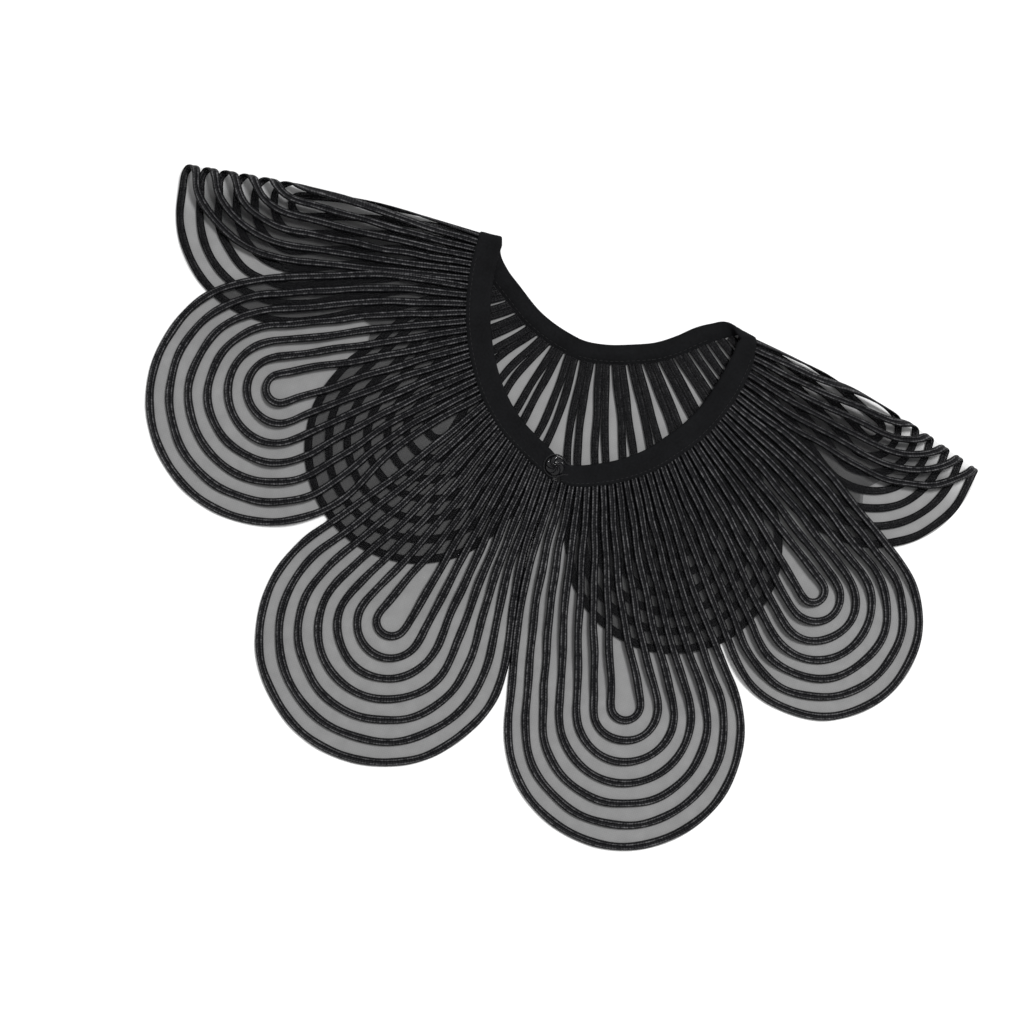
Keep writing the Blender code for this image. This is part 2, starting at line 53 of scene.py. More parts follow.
collar = {
    "origin": (-7.762, -123.359),   # where the CAD's origin lies in the collar's own frame
    "wall": 1.6,                    # thickness of a layer in the CAD
    "layerGap": 0.4,                # air between the two layers
    "dropStart": 14.0,              # the front layer stays up this far past the back layer
    "dropRun": 20.0,                # and comes down over this length
    "cornerLoft": 2.6,              # rise over the soft turn at the right neck corner
    "cornerReach": 32.0,
    "backWaist": 22.0,              # half the width of a back petal at its root
    "backCircles": 9,               # circles that stand for a back petal from root to tip
    "foldLift": 4.5,                # the front layer rises this much more along a shoulder fold
    "liftReach": 20.0,              # to each side of the fold
    "liftStart": 12.0,              # from the neck corner
    "liftRun": 40.0,
    "foldCuts": 13,                 # edges laid along a fold, over the part that turns
}

organza = {
    "backLevel": 0.3,      # height of the cloth in its layer, from its wrong side
    "frontLevel": 0.8,
    "dip": 0.12,           # how far it sinks between two rows of braid
    "edge": 0.3,           # cloth left outside the outermost braid
    "armCells": 18,        # cells along each arm of a petal and round its tip
    "tipCells": 72,
    "between": (0.3, 0.7),  # where the rows of points lie between two rows of braid
    "rowWeld": 1e-4,       # points nearer than this become one, in a petal and in the whole
    "weld": 0.03,
    "frontAbove": 2.6,     # all that is higher than this belongs to the front layer
    "through": 0.49,       # share of light that one layer lets through
    "paintedLoftLight": 0.8,         # painted light: how much less it holds back where it stands up beside a fold, so the cells there look lit brighter
    "loftedReach": 13.0,   # to each side of the fold
    "loftedStart": 4.0,    # from the neck corner
    "loftedRun": 14.0,
    "coreBlend": 3.0,      # the middle line ends this near to the innermost turn
    "threadPitch": 0.00092,  # metres between two threads of its weave
    "colours": ((0.002, 0.002, 0.0025), (0.006, 0.006, 0.007)),
}

braid = {
    "loops": 7,
    "width": 3.7,
    "backWidth": 3.45,     # width and rise of the braid on the back half, which lies turned over
    "rootWide": 0.35,      # how much wider its ends are pressed at the neck seam
    "rootRun": 16.0,
    "pairing": 0.13,       # back rows lie in twos, nearer by this share of their spacing
    "flatter": 0.7,        # how much lower the braid is where it turns over a fold
    "rise": 1.45,          # height of its two ridges in front
    "backRise": 1.2,
    "lift": 0.05,          # stands just clear of the organza
    "spacing": 1.15,       # length of one mesh cell along the braid
    "wobble": 0.38,        # how far a row strays, over these lengths, but not near its ends
    "swayLengths": (22, 60),
    "calmRun": 25.0,
    "widthChange": 0.045,
    "widthLengths": (3, 5),
    "riseChange": 0.06,
    "riseLengths": (5, 9),
    "liftChange": 0.06,
    "patternStart": 50,    # the threads of each row start anywhere within this length
    "archReach": 10.0,     # where a row leans as it turns over a shoulder fold
    "archStart": 30.0,
    "stitch": 1.3,         # length of one crossing of its threads
    "lead": 6.0,           # a guiding point this far before and after each turn
    "turnPoints": 11,
    # half the section, from the groove to the edge, as (share of half width, share of rise)
    "section": ((0.0, 0.52), (0.16, 0.70), (0.38, 1.0), (0.62, 1.0), (0.84, 0.66), (1.0, 0.0)),
    # dark braid, and the painted highlight on the crests of its ridges
    "colours": ((0.003, 0.003, 0.004), (0.115, 0.114, 0.118)),
}

band = {
    "backShare": 0.79,     # share of its width seen on the back half, which lies turned over
    "seamGap": 0.3,        # distances from the neck seam, the last only near a corner
    "curveRoom": 0.45,
    "cornerGap": 0.5,
    "cornerGapReach": 7.0,
    "pinchAt": 3.0,        # it is narrowest this far behind the fold
    "pinchReach": 7.0,     # and over this length behind that, and the next one ahead of it
    "pinchAhead": 18.0,
    "roundEnd": 5.5,       # radius of the lower corner of the right end
    "squareOff": 10.0,     # its ends are cut square over this length
    "centreBack": 0.46,    # share of the back seam where its two halves meet
    "look": 0.03,          # its direction is taken over this share of a half, to each side
    "cells": 90,           # cells in front of and behind a turn, and over the turn
    "turnCells": 21,
    "front": 1.15,         # how much thicker it is in front, where it covers the braid ends
    # round the strip: how far in from the seam, and how high as a share of its thickness
    "section": ((-1.1, 0.05), (-1.6, 0.42), (-1.5, 0.78), (-0.9, 0.96), (0.4, 1.0), (2.4, 0.93),
                (5.4, 0.90), (8.0, 0.93), (9.3, 0.92), (10.0, 0.74), (10.1, 0.42), (9.6, 0.05)),
    "uvThick": 2.5,        # its thickness as the weave is laid over it
    "weavePitch": 0.75,
    "colours": ((0.0015, 0.0015, 0.0018), (0.0078, 0.0081, 0.0092)),
}

stitches = {
    "inset": 0.4,
    "pitch": 2.5,
    "pitchChange": 0.15,
    "length": 1.7,
    "radius": 0.13,
    "cornerFree": 12.0,    # none are seen this near to a shoulder fold
    "frontLevel": 0.975,   # where they start, as a share of the strip's thickness
    "backLevel": -0.02,
    # along one stitch: how high it stands, and its radius as a share of the full one
    "arch": (0.0, 0.10, 0.13, 0.10, 0.0),
    "taper": (0.5, 1, 1, 1, 0.5),
    "sides": 6,
    "colours": ((0.005, 0.005, 0.006), (0.02, 0.02, 0.02)),
}

button = {
    "centre": (2.6, -88.3),
    "radius": 4.5,
    "height": 3.8,
    "segments": 96,
    "rings": 64,
    "low": -0.35,          # the dome is a ball cut off here, as a share of its radius
    "tuck": 0.9,           # what lies below its widest line is flattened by this factor
    "swirls": 6,
    "swirlTurn": 2.6,      # half turns that a swirl makes from the middle to the rim
    "swirlDepth": 0.85,
    "plainRim": 0.25,      # shares of the radius over which the swirls run out
    "plainMiddle": 0.18,
    "plainBelow": -0.2,
    "colours": ((0.002, 0.002, 0.003), (0.007, 0.007, 0.008)),
}

buttonLoop = {
    "thread": 0.85,
    "feet": ((11.4, -85.9), (11.8, -89.6)),
    "open": 40,            # half the angle that it leaves open towards its feet
    "lean": 4,
    "turnPoints": 22,
    "room": 0.2,           # air between it and the button
    "sink": 1.3,           # its feet go this deep into the strip
    "sinkRun": 6.5,
    "twist": 2.4,          # length of one turn of its two plies about each other
    "plyOff": 0.42,        # shares of its radius
    "plyRadius": 0.58,
    "sides": 8,
    "colours": ((0.003, 0.003, 0.004), (0.014, 0.014, 0.015)),
}

studio = {
    "imageCentre": (-8.2, -115.2),  # point of the collar at the middle of the picture
    "imageWidth": 471.0,            # millimetres across the picture
    "turn": 21.19,                  # degrees that the collar lies turned in the picture
    "lens": 85.0,
    "sensor": 36.0,
    "aimHeight": 0.002,             # the height that is in focus of the picture's width
    "world": 0.52,
    "softbox": 46.0,
    "lamp": (0.5, 0.95, 1.95),
    "lampSize": 0.5,
    "floorSize": 8.0,
    "floorColours": ((0.93, 0.93, 0.93), (0.95, 0.95, 0.95)),
}

# Points on each kind of path; curve is the steps between two guiding points
pathPoints = {"curve": 16, "seam": 240, "stations": 400, "braid": 500, "band": 200, "loop": 150}

seams = {
    "frontLeft": [(-68, 0), (-65, -21), (-60, -38), (-52, -54), (-40, -70),
                  (-27, -81), (-12, -88.5), (3.4, -94.4)],
    "frontRight": [(3.9, -94.8), (15, -93), (26, -88), (37, -81), (46, -73), (54, -62.5),
                   (60, -53), (66, -38), (69, -23), (69, -8), (67, 0)],
    "back": [(-68, 0), (-62, -12.5), (-55, -19), (-47, -24), (-32, -32.5), (-16, -37),
             (-5, -38), (6, -36), (19, -31), (30, -25.5), (39, -18.3), (46, -11.2),
             (53, -5.6), (60, -1.8), (67, 0)],
}

# Shoulder folds: neck corner, far end, bow, half the width that turns over, ease, pinch,
# and how far the braid leans to each side as it turns over
folds = {
    "left": dict(corner=(-68, 0), end=(-205, -19.5), bow=3.0, half=4.0, ease=0.92, pinch=0.0,
                 arch=3.0),
    "right": dict(corner=(67, 0), end=(185.5, -19.5), bow=3.6, half=4.4, ease=0.83, pinch=0.28,
                  arch=0.3),
}

# Petals in ring order, as the pattern piece is cut: spans of neck edge, the points that the
# outer arms pass, and the circles of the outermost and innermost braid
petals = {
    "frontB": dict(layer="front", spans=[("frontLeft", 1.0, 0.62)],
                   middles=((5.8, -146), (-63.8, -119)),
                   tip=(-42.2, -190.5), tipRadius=57.4, core=(-41.6, -182.4), coreRadius=6.9),
    "frontC": dict(layer="front", spans=[("frontLeft", 0.62, 0.19)],
                   middles=((-68.2, -106.2), (-100, -34)),
                   tip=(-130.0, -107.3), tipRadius=56.0, core=(-127.7, -100.4), coreRadius=6.9),
    "foldedE": dict(fold="left", spans=[("frontLeft", 0.19, 0.0), ("back", 0.0, 0.17)],
                    middles=((51, 34.4), (24, -41)),
                    tip=(86.2, -12.5), tipRadius=51.6, core=(82.4, -9.8), coreRadius=4.6),
    "backG": dict(layer="back", spans=[("back", 0.17, 0.486)],
                  middles=((-86, -49), (-3.4, -62.6)),
                  tip=(-58.5, -103.5), tipRadius=51.0, core=(-53.5, -90), coreRadius=6.0),
    "backH": dict(layer="back", spans=[("back", 0.486, 0.80)],
                  middles=((3.9, -77), (79, -47)),
                  tip=(66.8, -102.4), tipRadius=48.3, core=(62, -95), coreRadius=6.0),
    "foldedF": dict(fold="right", spans=[("back", 0.80, 1.0), ("frontRight", 1.0, 0.79)],
                    middles=((25, -43), (37, 36)),
                    tip=(69, -13.4), tipRadius=50.1, core=(67.6, -12.2), coreRadius=4.6),
    "frontD": dict(layer="front", spans=[("frontRight", 0.79, 0.395)],
                   middles=((112, -42), (75, -100)),
                   tip=(143.2, -109.8), tipRadius=44.3, core=(134, -99), coreRadius=5.5),
    "frontA": dict(layer="front", spans=[("frontRight", 0.395, 0.0)],
                   middles=((93, -130), (9.6, -146)),
                   tip=(76.2, -189.9), tipRadius=53.7, core=(73, -179), coreRadius=6.9),
}
petalOrder = list(petals)
joinedRun = dict(zip(zip(petalOrder, petalOrder[1:]), (88, 84, 62, 58, 66, 74, 84)))
openRun = 70


# Layout in the plane of the cut

def runOf(path):
    return np.concatenate([[0], np.cumsum(np.linalg.norm(np.diff(path, axis=0), axis=1))])


def stepsAlong(path, shares):
    run = runOf(path)
    want = np.asarray(shares) * run[-1]
    return np.stack([np.interp(want, run, path[:, i]) for i in range(path.shape[1])], -1)


def unit(rows):
    return rows / np.linalg.norm(rows, axis=1)[:, None]


def leftOf(way):
    return np.column_stack([-way[:, 1], way[:, 0]])


def lengthOf(path):
    return float(np.linalg.norm(np.diff(path, axis=0), axis=1).sum())


def smoothPath(points, count):
    p = np.asarray(points, float)
    ends = np.vstack([2 * p[0] - p[1], p, 2 * p[-1] - p[-2]])
    knots = runOf(ends)
    slope = np.gradient(ends, knots, axis=0)
    t = (np.arange(pathPoints["curve"]) / pathPoints["curve"])[:, None]
    fine = []
    for i in range(1, len(ends) - 2):
        gap = knots[i + 1] - knots[i]
        fine.append((1 + 2 * t) * (1 - t) ** 2 * ends[i] + t * (1 - t) ** 2 * gap * slope[i]
                    + t * t * (3 - 2 * t) * ends[i + 1] + t * t * (t - 1) * gap * slope[i + 1])
    return stepsAlong(np.vstack(fine + [p[-1:]]), np.linspace(0, 1, count))


seamPaths = {name: smoothPath(points, pathPoints["seam"]) for name, points in seams.items()}


def foldAxes(name):
    corner = np.array(folds[name]["corner"], float)
    along = np.array(folds[name]["end"], float) - corner
    length = np.hypot(*along)
    along = along / length
    across = np.array([-along[1], along[0]])
    return corner, along, -across if across[1] > 0 else across, length


def bowOf(name, a):
    return folds[name]["bow"] * np.sin(math.pi * np.clip(a / foldAxes(name)[3], 0, 1))


def unfolded(name, plan, side):
    corner, along, across, _ = foldAxes(name)
    d = np.asarray(plan, float) - corner
    a = d @ along
    n = d @ across + bowOf(name, a)
    return np.stack([a, n / folds[name]["ease"] if side > 0 else -n], -1)


def laid(name, flat):
    corner, along, across, _ = foldAxes(name)
    a, n = np.asarray(flat, float)[..., 0], np.asarray(flat, float)[..., 1]
    n = np.where(n > 0, n * folds[name]["ease"], -n) - bowOf(name, a)
    return corner + a[..., None] * along + n[..., None] * across


def rootPoint(petal, share):
    spans = petal["spans"]
    index = min(int(share * len(spans)), len(spans) - 1)
    seam, start, end = spans[index]
    plan = stepsAlong(seamPaths[seam], [start + (end - start) * (share * len(spans) - index)])[0]
    if "fold" not in petal:
        return plan
    return unfolded(petal["fold"], plan, -1 if seam == "back" else 1)


def tangentPoint(point, centre, radius, side):
    d = centre - point
    reach = np.hypot(*d)
    angle = side * math.asin(min(0.98, radius / reach))
    c, s = math.cos(angle), math.sin(angle)
    u = d / reach
    turned = np.array([u[0] * c - u[1] * s, u[0] * s + u[1] * c])
    return point + math.sqrt(max(reach ** 2 - radius ** 2, 1.0)) * turned


def loopPath(petal, k, count):
    loops = braid["loops"]
    inward = k / (loops - 1)
    if petal.get("layer") == "back":
        k = k + braid["pairing"] * (1 if k % 2 == 0 else -1)
    width = (loops - 0.5 - k) / (loops - 0.5)
    rootWidth = (loops - 0.5 - k) / loops
    centre = np.array(petal["tip"]) * (1 - inward) + np.array(petal["core"]) * inward
    radius = petal["tipRadius"] * (1 - inward) + petal["coreRadius"] * inward
    first, last = (np.array(m, float) for m in petal["middles"])
    middle = (first + last) / 2
    roots = [rootPoint(petal, 0.5 - 0.5 * rootWidth), rootPoint(petal, 0.5 + 0.5 * rootWidth)]
    arms = [middle + (first - middle) * width, middle + (last - middle) * width]
    axis = centre - middle
    touch = []
    for arm in arms:
        off = arm - middle
        side = 1 if axis[0] * off[1] - axis[1] * off[0] > 0 else -1
        touch.append(tangentPoint(arm, centre, radius, side))
    tip = math.atan2(axis[1], axis[0])
    swing = [(math.atan2(*(t - centre)[::-1]) - tip + math.pi) % (2 * math.pi) - math.pi
             for t in touch]
    arc = [centre + radius * np.array([math.cos(tip + s), math.sin(tip + s)])
           for s in np.linspace(*swing, braid["turnPoints"])]
    leads = [t + (arm - t) * min(0.5, braid["lead"] / np.hypot(*(arm - t)))
             for t, arm in zip(touch, arms)]
    path = smoothPath([roots[0], arms[0], leads[0]] + arc + [leads[1], arms[1], roots[1]], count)
    if "fold" in petal:
        fold = folds[petal["fold"]]
        a, n = path.T
        lean = np.tanh(n / fold["half"]) * np.exp(-(n / braid["archReach"]) ** 2)
        path[:, 0] = a - fold["arch"] * lean * np.clip(a / braid["archStart"] - 1, 0, 1)
    return path


def loopStations(name):
    arm, tip = organza["armCells"], organza["tipCells"]
    index = petalOrder.index(name)
    before = joinedRun.get((petalOrder[index - 1], name), openRun)
    after = joinedRun.get((name, petalOrder[(index + 1) % len(petalOrder)]), openRun)
    paths = [loopPath(petals[name], k, pathPoints["stations"]) for k in range(braid["loops"])]
    total = lengthOf(paths[0])
    first, last = before / total, 1 - after / total
    shares = np.concatenate([np.linspace(0, first, arm + 1)[:-1],
                             np.linspace(first, last, tip + 1)[:-1],
                             np.linspace(last, 1, arm + 1)])
    return np.array([stepsAlong(path, shares) for path in paths])


stations = {name: loopStations(name) for name in petalOrder}


def planPoints(name, flat):
    petal = petals[name]
    return laid(petal["fold"], flat) if "fold" in petal else np.asarray(flat, float)


# Heights of the two layers, and the turn at each shoulder

def backCircles():
    made = []
    for name in ("foldedE", "backG", "backH", "foldedF"):
        petal = petals[name]
        loop = planPoints(name, stations[name][0])
        tip = planPoints(name, np.array(petal["tip"], float))
        root = (loop[0] + loop[-1]) / 2
        for t in np.linspace(0, 1, collar["backCircles"]):
            radius = collar["backWaist"] + (petal["tipRadius"] - collar["backWaist"]) * t
            made.append((*(root + (tip - root) * t), radius))
    return np.array(made)


circles = backCircles()


def besideFolds(plan, start, run, reach):
    for name in folds:
        corner, along, across, _ = foldAxes(name)
        a = (plan - corner) @ along
        n = (plan - corner) @ across + bowOf(name, a)
        yield np.clip((a - start) / run, 0, 1), np.exp(-(n / reach) ** 2)


def foldLift(plan):
    lift = 0.0
    for t, near in besideFolds(plan, collar["liftStart"], collar["liftRun"], collar["liftReach"]):
        lift = lift + collar["foldLift"] * t * t * (3 - 2 * t) * near
    return lift


# share of the painted light beside each fold, where the cloth is made clearer so that it looks lit
# brighter
def paintedLoftLight(plan):
    most = np.zeros(len(plan))
    for t, near in besideFolds(plan, organza["loftedStart"], organza["loftedRun"],
                               organza["loftedReach"]):
        most = np.maximum(most, t * near)
    return most


def frontBase(plan):
    d = plan[:, None, :] - circles[None, :, :2]
    reach = (np.hypot(d[..., 0], d[..., 1]) - circles[:, 2]).min(axis=1)
    t = np.clip((reach - collar["dropStart"]) / collar["dropRun"], 0, 1)
    settle = 1 - t * t * (3 - 2 * t)
    off = plan - seamPaths["back"][-1]
    loft = collar["cornerLoft"] * np.exp(-(np.hypot(*off.T) / collar["cornerReach"]) ** 2)
    return (collar["wall"] + collar["layerGap"] + loft + foldLift(plan)) * settle


def placeFolded(fold, flat, h):
    half, ease = folds[fold]["half"], folds[fold]["ease"]
    wall = collar["wall"]
    a, n = flat[:, 0], flat[:, 1]
    front = half / ease
    plan = laid(fold, np.column_stack([a, np.where(n <= -half, n, np.maximum(n, front))]))
    top = frontBase(plan)
    turn = np.clip(np.where(n > 0, n * half / front, n), -half, half)
    angle = 0.5 * math.pi * turn / half
    shift = (half + h - wall) * np.cos(angle)
    spot = plan - foldAxes(fold)[2] * shift[:, None]
    z = (top + wall) / 2 + ((top - wall) / 2 + h) * np.sin(angle)
    back, ahead = n <= -half, n >= front
    spot[back | ahead] = plan[back | ahead]
    z[back] = wall - h[back]
    z[ahead] = top[ahead] + h[ahead]
    return np.column_stack([spot, z])


def frontShare(name, n):
    petal = petals[name]
    if "fold" not in petal:
        return np.full(len(n), 0.0 if petal["layer"] == "back" else 1.0)
    half = folds[petal["fold"]]["half"]
    return np.clip((n + half) / (2 * half), 0, 1)


def place(name, flat, h):
    petal = petals[name]
    if "fold" in petal:
        return placeFolded(petal["fold"], flat, h)
    if petal["layer"] == "back":
        return np.column_stack([flat, collar["wall"] - h])
    return np.column_stack([flat, frontBase(flat) + h])


def clothLevel(share):
    return organza["backLevel"] + (organza["frontLevel"] - organza["backLevel"]) * share


# Meshes

def toMetres(points):
    return (points - np.array([*collar["origin"], 0.0])) * 0.001


def addObject(name, mesh, material):
    item = bpy.data.objects.new(name, mesh)
    bpy.context.scene.collection.objects.link(item)
    mesh.materials.append(material)
    mesh.shade_smooth()
    return item


def turnOutward(mesh):
    bm = bmesh.new()
    bm.from_mesh(mesh)
    bmesh.ops.recalc_face_normals(bm, faces=bm.faces)
    bm.to_mesh(mesh)
    bm.free()


def setUvs(mesh, uvs):
    mesh.uv_layers.new(name="UVMap").data.foreach_set("uv", np.array(uvs).ravel())


def addTube(name, points, faces, material, uvs=None):
    mesh = bpy.data.meshes.new(name)
    mesh.from_pydata(toMetres(np.array(points)).tolist(), [], faces)
    if uvs is not None:
        setUvs(mesh, uvs)
    turnOutward(mesh)
    return addObject(name, mesh, material)


def tubeFaces(start, rows, count):
    grid = (start + np.arange(rows * count).reshape(rows, count)).tolist()
    sides = [(grid[j][i], grid[j + 1][i], grid[j + 1][(i + 1) % count], grid[j][(i + 1) % count])
             for j in range(rows - 1) for i in range(count)]
    return sides + [tuple(grid[0]), tuple(grid[-1])]


def tubeUvs(run, around):
    return [(run[row], around[column])
            for j in range(len(run) - 1) for i in range(len(around) - 1)
            for row, column in ((j, i), (j + 1, i), (j + 1, i + 1), (j, i + 1))]


def foldCuts(bm, fold):
    half, ease = folds[fold]["half"], folds[fold]["ease"]
    for share in np.linspace(-1, 1, collar["foldCuts"]):
        at = half * share / (ease if share > 0 else 1)
        bmesh.ops.bisect_plane(bm, geom=bm.verts[:] + bm.edges[:] + bm.faces[:], dist=1e-5,
                               plane_co=(0, at, 0), plane_no=(0, 1, 0))


def coordsOf(mesh):
    co = np.empty(len(mesh.vertices) * 3)
    mesh.vertices.foreach_get("co", co)
    return co.reshape(-1, 3)


def organzaRows(name):
    petal = petals[name]
    loops = stations[name]
    arm = organza["armCells"]
    index = petalOrder.index(name)
    outward = unit(loops[0] - loops[1])
    edge = loops[0] + outward * (braid["width"] / 2 + organza["edge"])
    if index > 0:
        edge[:arm + 1] = sharedLine(petalOrder[index - 1], name, name)
    if index + 1 < len(petalOrder):
        edge[-arm - 1:] = sharedLine(name, petalOrder[index + 1], name)[::-1]
    core = np.array(petal["core"], float)
    axis = core - (np.array(petal["middles"][0]) + np.array(petal["middles"][1])) / 2
    spine = (loops[-1] + loops[-1][::-1]) / 2
    spine[(spine - core) @ axis > -organza["coreBlend"] * np.hypot(*axis)] = core
    rows = [(edge, 0.0)]
    for k in range(len(loops)):
        rows.append((loops[k], 0.0))
        inner = loops[k + 1] if k + 1 < len(loops) else spine
        for share in organza["between"]:
            rows.append((loops[k] * (1 - share) + inner * share, -organza["dip"]))
    rows.append((spine, -organza["dip"]))
    return rows


def sharedLine(one, other, asked):
    arm = organza["armCells"]
    here = planPoints(one, stations[one][0][::-1][:arm + 1])
    there = planPoints(other, stations[other][0][:arm + 1])
    line = (here + there) / 2
    petal = petals[asked]
    if "fold" not in petal:
        return line
    seam = petal["spans"][0 if asked == other else -1][0]
    return unfolded(petal["fold"], line, -1 if seam == "back" else 1)


def makeOrganza(material):
    whole = bmesh.new()
    cutArea = 0.0
    for name in petalOrder:
        petal = petals[name]
        rows = organzaRows(name)
        bm = bmesh.new()
        made = [[bm.verts.new((*p, dip)) for p in points] for points, dip in rows]
        for one, two in zip(made, made[1:]):
            for j in range(len(one) - 1):
                bm.faces.new((one[j], one[j + 1], two[j + 1], two[j]))
        bmesh.ops.remove_doubles(bm, verts=bm.verts, dist=organza["rowWeld"])
        uv = bm.loops.layers.uv.new("UVMap")
        if "fold" in petal:
            foldCuts(bm, petal["fold"])
        cutArea += sum(f.calc_area() for f in bm.faces) * 1e-6
        for face in bm.faces:
            for corner in face.loops:
                corner[uv].uv = (corner.vert.co.x * 0.001, corner.vert.co.y * 0.001)
        mesh = bpy.data.meshes.new(name)
        bm.to_mesh(mesh)
        bm.free()
        co = coordsOf(mesh)
        level = clothLevel(frontShare(name, co[:, 1]))
        placed = place(name, co[:, :2], level + co[:, 2])
        mesh.vertices.foreach_set("co", placed.ravel())
        whole.from_mesh(mesh)
        bpy.data.meshes.remove(mesh)
    bmesh.ops.remove_doubles(whole, verts=whole.verts, dist=organza["weld"])
    bmesh.ops.recalc_face_normals(whole, faces=whole.faces)
    up = sum(f.normal.z * f.calc_area() for f in whole.faces
             if f.calc_center_median().z > organza["frontAbove"])
    if up < 0:
        bmesh.ops.reverse_faces(whole, faces=whole.faces)
    mesh = bpy.data.meshes.new("organza")
    whole.to_mesh(mesh)
    whole.free()
    co = coordsOf(mesh)
    # where the cloth is made clearer beside the folds, as painted light
    mesh.attributes.new("paintedLoftLight", "FLOAT", "POINT").data.foreach_set("value", paintedLoftLight(co[:, :2]))
    mesh.vertices.foreach_set("co", toMetres(co).ravel())
    mesh.update()
    return addObject("organza", mesh, material), cutArea


def ribbonSection():
    half = braid["section"]
    across = [-p for p, _ in half[:0:-1]] + [p for p, _ in half]
    rise = [r for _, r in half[:0:-1]] + [r for _, r in half]
    return np.array(across), np.array(rise)


def unevenness(run, lengths):
    return np.sin(run / random.uniform(*lengths) + random.uniform(0, 6.3))


def makeBraid(name, material):
    petal = petals[name]
    across, rise = ribbonSection()
    count = len(across)
    verts, faces, uvs = [], [], []
    start = 0
    for k in range(braid["loops"]):
        path = loopPath(petal, k, pathPoints["braid"])
        length = lengthOf(path)
        cells = int(length / braid["spacing"])
        path = stepsAlong(path, np.linspace(0, 1, cells + 1))
        side = leftOf(unit(np.gradient(path, axis=0)))
        run = np.linspace(0, length, cells + 1)
        fromEnd = np.minimum(run, length - run)
        calm = np.clip(fromEnd / braid["calmRun"], 0, 1)
        sway = sum(unevenness(2 * math.pi * run, braid["swayLengths"])
                   for _ in range(3)) / 3 * braid["wobble"] * calm
        path = path + side * sway[:, None]
        front = frontShare(name, path[:, 1])
        half = (braid["backWidth"] + (braid["width"] - braid["backWidth"]) * front) / 2
        pressed = np.exp(-fromEnd / braid["rootRun"]) * (1 - front)
        half = half + pressed * braid["rootWide"] / 2
        half = half * (1 + braid["widthChange"] * unevenness(run, braid["widthLengths"]))
        tall = 1 + braid["riseChange"] * unevenness(run, braid["riseLengths"])
        points = path[:, None, :] + side[:, None, :] * (across[None, :] * half[:, None])[..., None]
        lift = rise[None, :] * tall[:, None] + random.uniform(0, braid["liftChange"])
        verts.append(np.concatenate([points, lift[..., None]], -1).reshape(-1, 3))
        shifted = run + random.uniform(0, braid["patternStart"])
        faces += tubeFaces(start, cells + 1, count)
        uvs += tubeUvs(shifted, [*across, across[0]])
        uvs += [(shifted[j], c) for j in (0, -1) for c in across]
        start += (cells + 1) * count
    mesh = bpy.data.meshes.new("braid_" + name)
    mesh.from_pydata(np.vstack(verts).tolist(), [], faces)
    setUvs(mesh, uvs)
    bm = bmesh.new()
    bm.from_mesh(mesh)
    if "fold" in petal:
        foldCuts(bm, petal["fold"])
    bm.to_mesh(mesh)
    bm.free()
    co = coordsOf(mesh)
    share = frontShare(name, co[:, 1])
    tall = braid["backRise"] + (braid["rise"] - braid["backRise"]) * share
    if "fold" in petal:
        turn = np.exp(-(co[:, 1] / folds[petal["fold"]]["half"]) ** 2)
        tall = tall * (1 - braid["flatter"] * turn)
    placed = place(name, co[:, :2], clothLevel(share) + braid["lift"] + co[:, 2] * tall)
    mesh.vertices.foreach_set("co", toMetres(placed).ravel())
    turnOutward(mesh)
    mesh.update()
    return addObject("braid_" + name, mesh, material)


# Neckband, stitches, button and loop

def bandHalf(fold, front, f0, f1, b0, b1):
    shares = np.linspace(0, 1, pathPoints["band"])
    ahead = unfolded(fold, stepsAlong(seamPaths[front], f0 + (f1 - f0) * shares), 1)
    behind = unfolded(fold, stepsAlong(seamPaths["back"], b0 + (b1 - b0) * shares), -1)
    path = np.vstack([ahead, behind[1:]])
    run = runOf(path)
    half = folds[fold]["half"]
    order = np.argsort(path[:, 1])
    turn = [np.interp(share * half, path[order, 1], run[order])
            for share in np.linspace(-1, 1, band["turnCells"])]
    marks = np.concatenate([np.linspace(0, min(turn), band["cells"])[:-1], sorted(turn),
                            np.linspace(max(turn), run[-1], band["cells"])[1:]]) / run[-1]
    points = stepsAlong(path, marks)
    way = stepsAlong(path, np.clip(marks + band["look"], 0, 1))
    way -= stepsAlong(path, np.clip(marks - band["look"], 0, 1))
    inward = leftOf(unit(way))
    if inward[len(inward) // 2][0] > 0:
        inward = -inward
    _, along, across, _ = foldAxes(fold)
    square = np.clip(1 - marks * run[-1] / band["squareOff"], 0, 1)[:, None]
    inward = inward * (1 - square) + np.array([along[1], across[1]]) * square
    return points, inward, marks * run[-1]


def bandPoint(fold, points, inward, reach, level):
    n = points[:, 1]
    gap = band["seamGap"] + band["curveRoom"]
    gap = gap + band["cornerGap"] * np.exp(-(n / band["cornerGapReach"]) ** 2)
    half = folds[fold]["half"]
    reachOf = np.where(n > -band["pinchAt"], band["pinchAhead"], band["pinchReach"])
    pinch = folds[fold]["pinch"] * np.exp(-((n + band["pinchAt"]) / reachOf) ** 2)
    behind = np.clip((half - n) / (2 * half), 0, 1)
    seen = (1 - pinch) * (1 - (1 - band["backShare"]) * behind)
    spot = points + inward * (gap + (reach - band["seamGap"]) * seen)[:, None]
    share = np.clip(spot[:, 1] / half, 0, 1)
    thick = collar["wall"] + band["front"] * share
    return placeFolded(fold, spot, thick * level)


bandHalves = (("left", "frontLeft", 0.997, 0.0, 0.0, band["centreBack"]),
              ("right", "frontRight", 0.016, 1.0, 1.0, band["centreBack"]))


